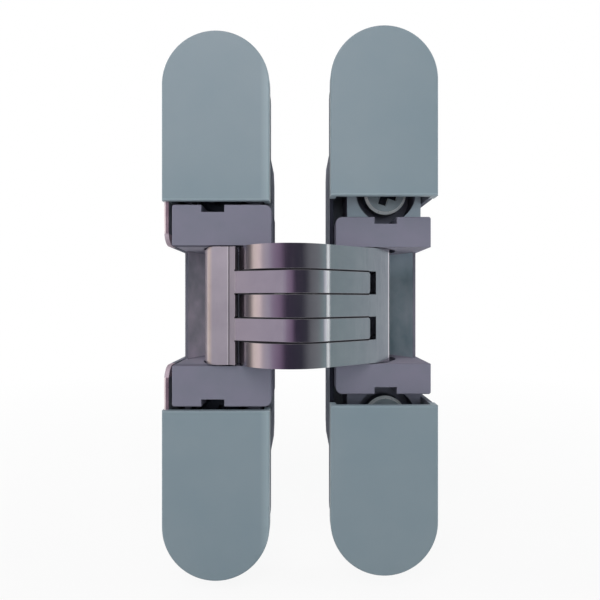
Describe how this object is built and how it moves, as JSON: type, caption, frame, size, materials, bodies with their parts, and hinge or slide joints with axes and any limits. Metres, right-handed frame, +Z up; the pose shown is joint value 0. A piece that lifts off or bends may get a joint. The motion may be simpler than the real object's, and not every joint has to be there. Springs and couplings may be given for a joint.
{
  "type": "concealed door hinge",
  "caption": "Concealed door hinge: slim round-ended bodies joined by interleaved folding arms, with cover caps and clamp screws that set height and depth.",
  "frame": {"origin": "middle of the frame-side body's screw holes, in the plane of its wings' rear faces", "axes": "+Z up along the hinge; +X from the frame-side body to the door-side body; +Y into the frame, away from the visible face"},
  "size_m": [0.0559, 0.0281, 0.1123],
  "materials": {
    "cap": "satin blue-grey",
    "housing": "dull grey on die-cast zinc, worn bright at the rim",
    "carriage": "satin lacquer on die-cast zinc",
    "arm": "satin, faint bronze tint",
    "pin": "ground",
    "screw": "zinc plate"
  },
  "bodies": {
    "frame_housing": {"frame_housing": "housing", "frame_cap_top": "cap", "frame_cap_bottom": "cap"},
    "frame_carriage": {"frame_carriage": "carriage", "frame_clamp_screw_top": "screw", "frame_clamp_screw_bottom": "screw", "frame_clamp_nut_top": "screw", "frame_clamp_nut_bottom": "screw"},
    "three_finger_arm": {"three_finger_arm": "arm", "frame_pivot_pin": "pin", "centre_pin": "pin", "door_slide_pin": "pin", "door_slide_roller_top": "pin", "door_slide_roller_bottom": "pin"},
    "two_finger_arm": {"two_finger_arm": "arm", "door_pivot_pin": "pin", "frame_slide_pin": "pin", "frame_slide_roller_top": "pin", "frame_slide_roller_bottom": "pin"},
    "door_carriage": {"door_carriage": "carriage", "door_clamp_screw_top": "screw", "door_clamp_screw_bottom": "screw", "door_clamp_nut_top": "screw", "door_clamp_nut_bottom": "screw"},
    "door_housing": {"door_housing": "housing", "door_cap_top": "cap", "door_cap_bottom": "cap"}
  },
  "joints": [
    {"name": "depth_adjust", "type": "slide", "parent": "frame_housing", "child": "frame_carriage", "axis": [1, 0, 0], "range_m": [-0.0006, 0.0012]},
    {"name": "fold", "type": "hinge", "parent": "frame_carriage", "child": "three_finger_arm", "pos_m": [0.00755, -0.0054, 0], "axis": [0, 0, 1], "range_deg": [-119.82, 0]},
    {"name": "centre_fold", "type": "hinge", "parent": "three_finger_arm", "child": "two_finger_arm", "pos_m": [0.01705, -0.0106, 0], "axis": [0, 0, 1], "range_deg": [0, 41.19]},
    {"name": "door_fold", "type": "hinge", "parent": "two_finger_arm", "child": "door_carriage", "pos_m": [0.02705, -0.0037, 0], "axis": [0, 0, 1], "range_deg": [-101.37, 0]},
    {"name": "height_adjust", "type": "slide", "parent": "door_carriage", "child": "door_housing", "axis": [0, 0, 1], "range_m": [-0.00255, 0.00045]}
  ],
  "couplings": [
    {"joint": "centre_fold", "follows": "fold", "ratio": -0.34375},
    {"joint": "door_fold", "follows": "fold", "ratio": 0.84599}
  ]
}
